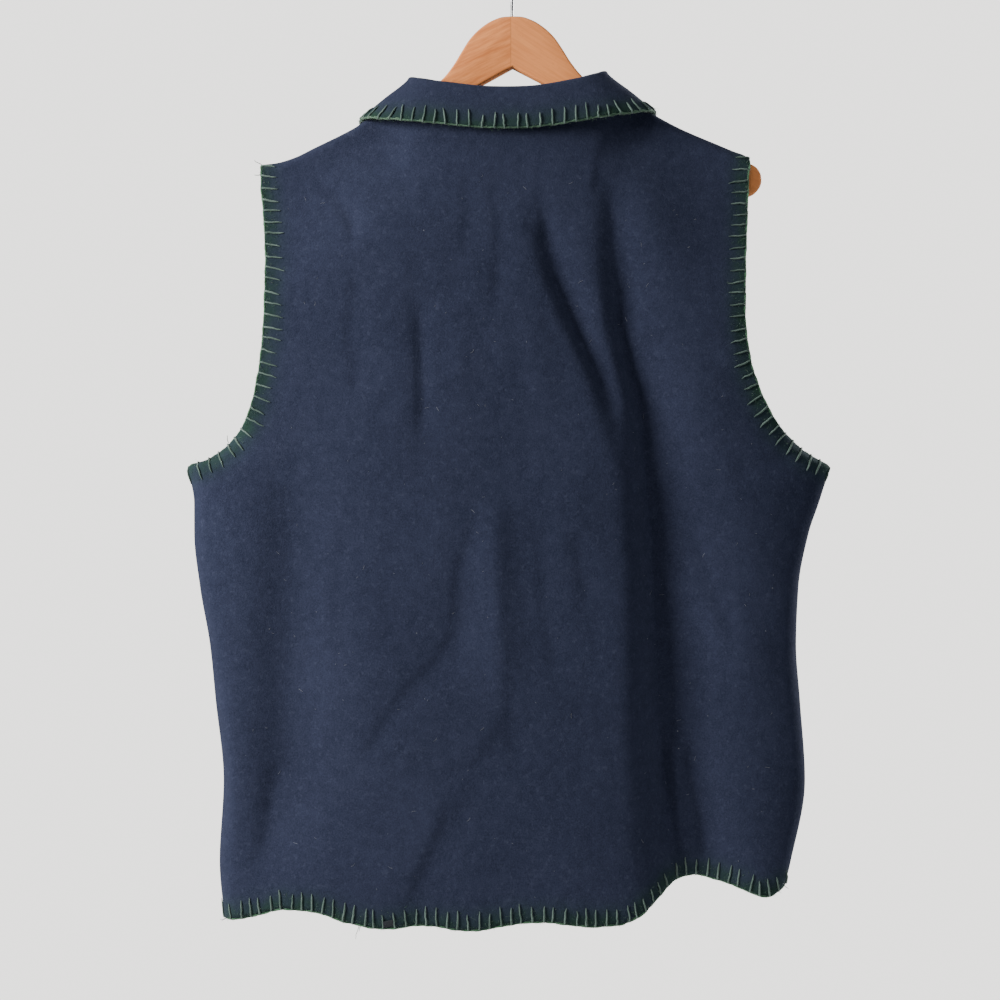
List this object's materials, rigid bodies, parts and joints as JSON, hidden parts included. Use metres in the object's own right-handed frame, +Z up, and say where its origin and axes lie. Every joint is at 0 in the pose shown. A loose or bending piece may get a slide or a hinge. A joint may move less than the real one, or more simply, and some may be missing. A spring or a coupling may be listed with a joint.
{
  "type": "vest on a hanger",
  "caption": "Sleeveless wool vest with turned-down collar and open neck, armholes and hem, hanging on a plain wooden hanger with a steel wire hook.",
  "frame": {"origin": "inside top of the hanger's hook, where a rail carries it", "axes": "+Z up, +Y towards the garment's back, +X towards the wearer's left"},
  "size_m": [0.5961, 0.0884, 0.9061],
  "materials": {
    "wool": "napped navy felt",
    "tape": "woven tape",
    "wood": "satin lacquer",
    "wire": "polished"
  },
  "bodies": {
    "root": {"back": "wool", "front_left": "wool", "front_right": "wool", "collar": "wool", "hem_tab": "tape", "hanger_body": "wood", "hook": "wire"}
  },
  "joints": []
}
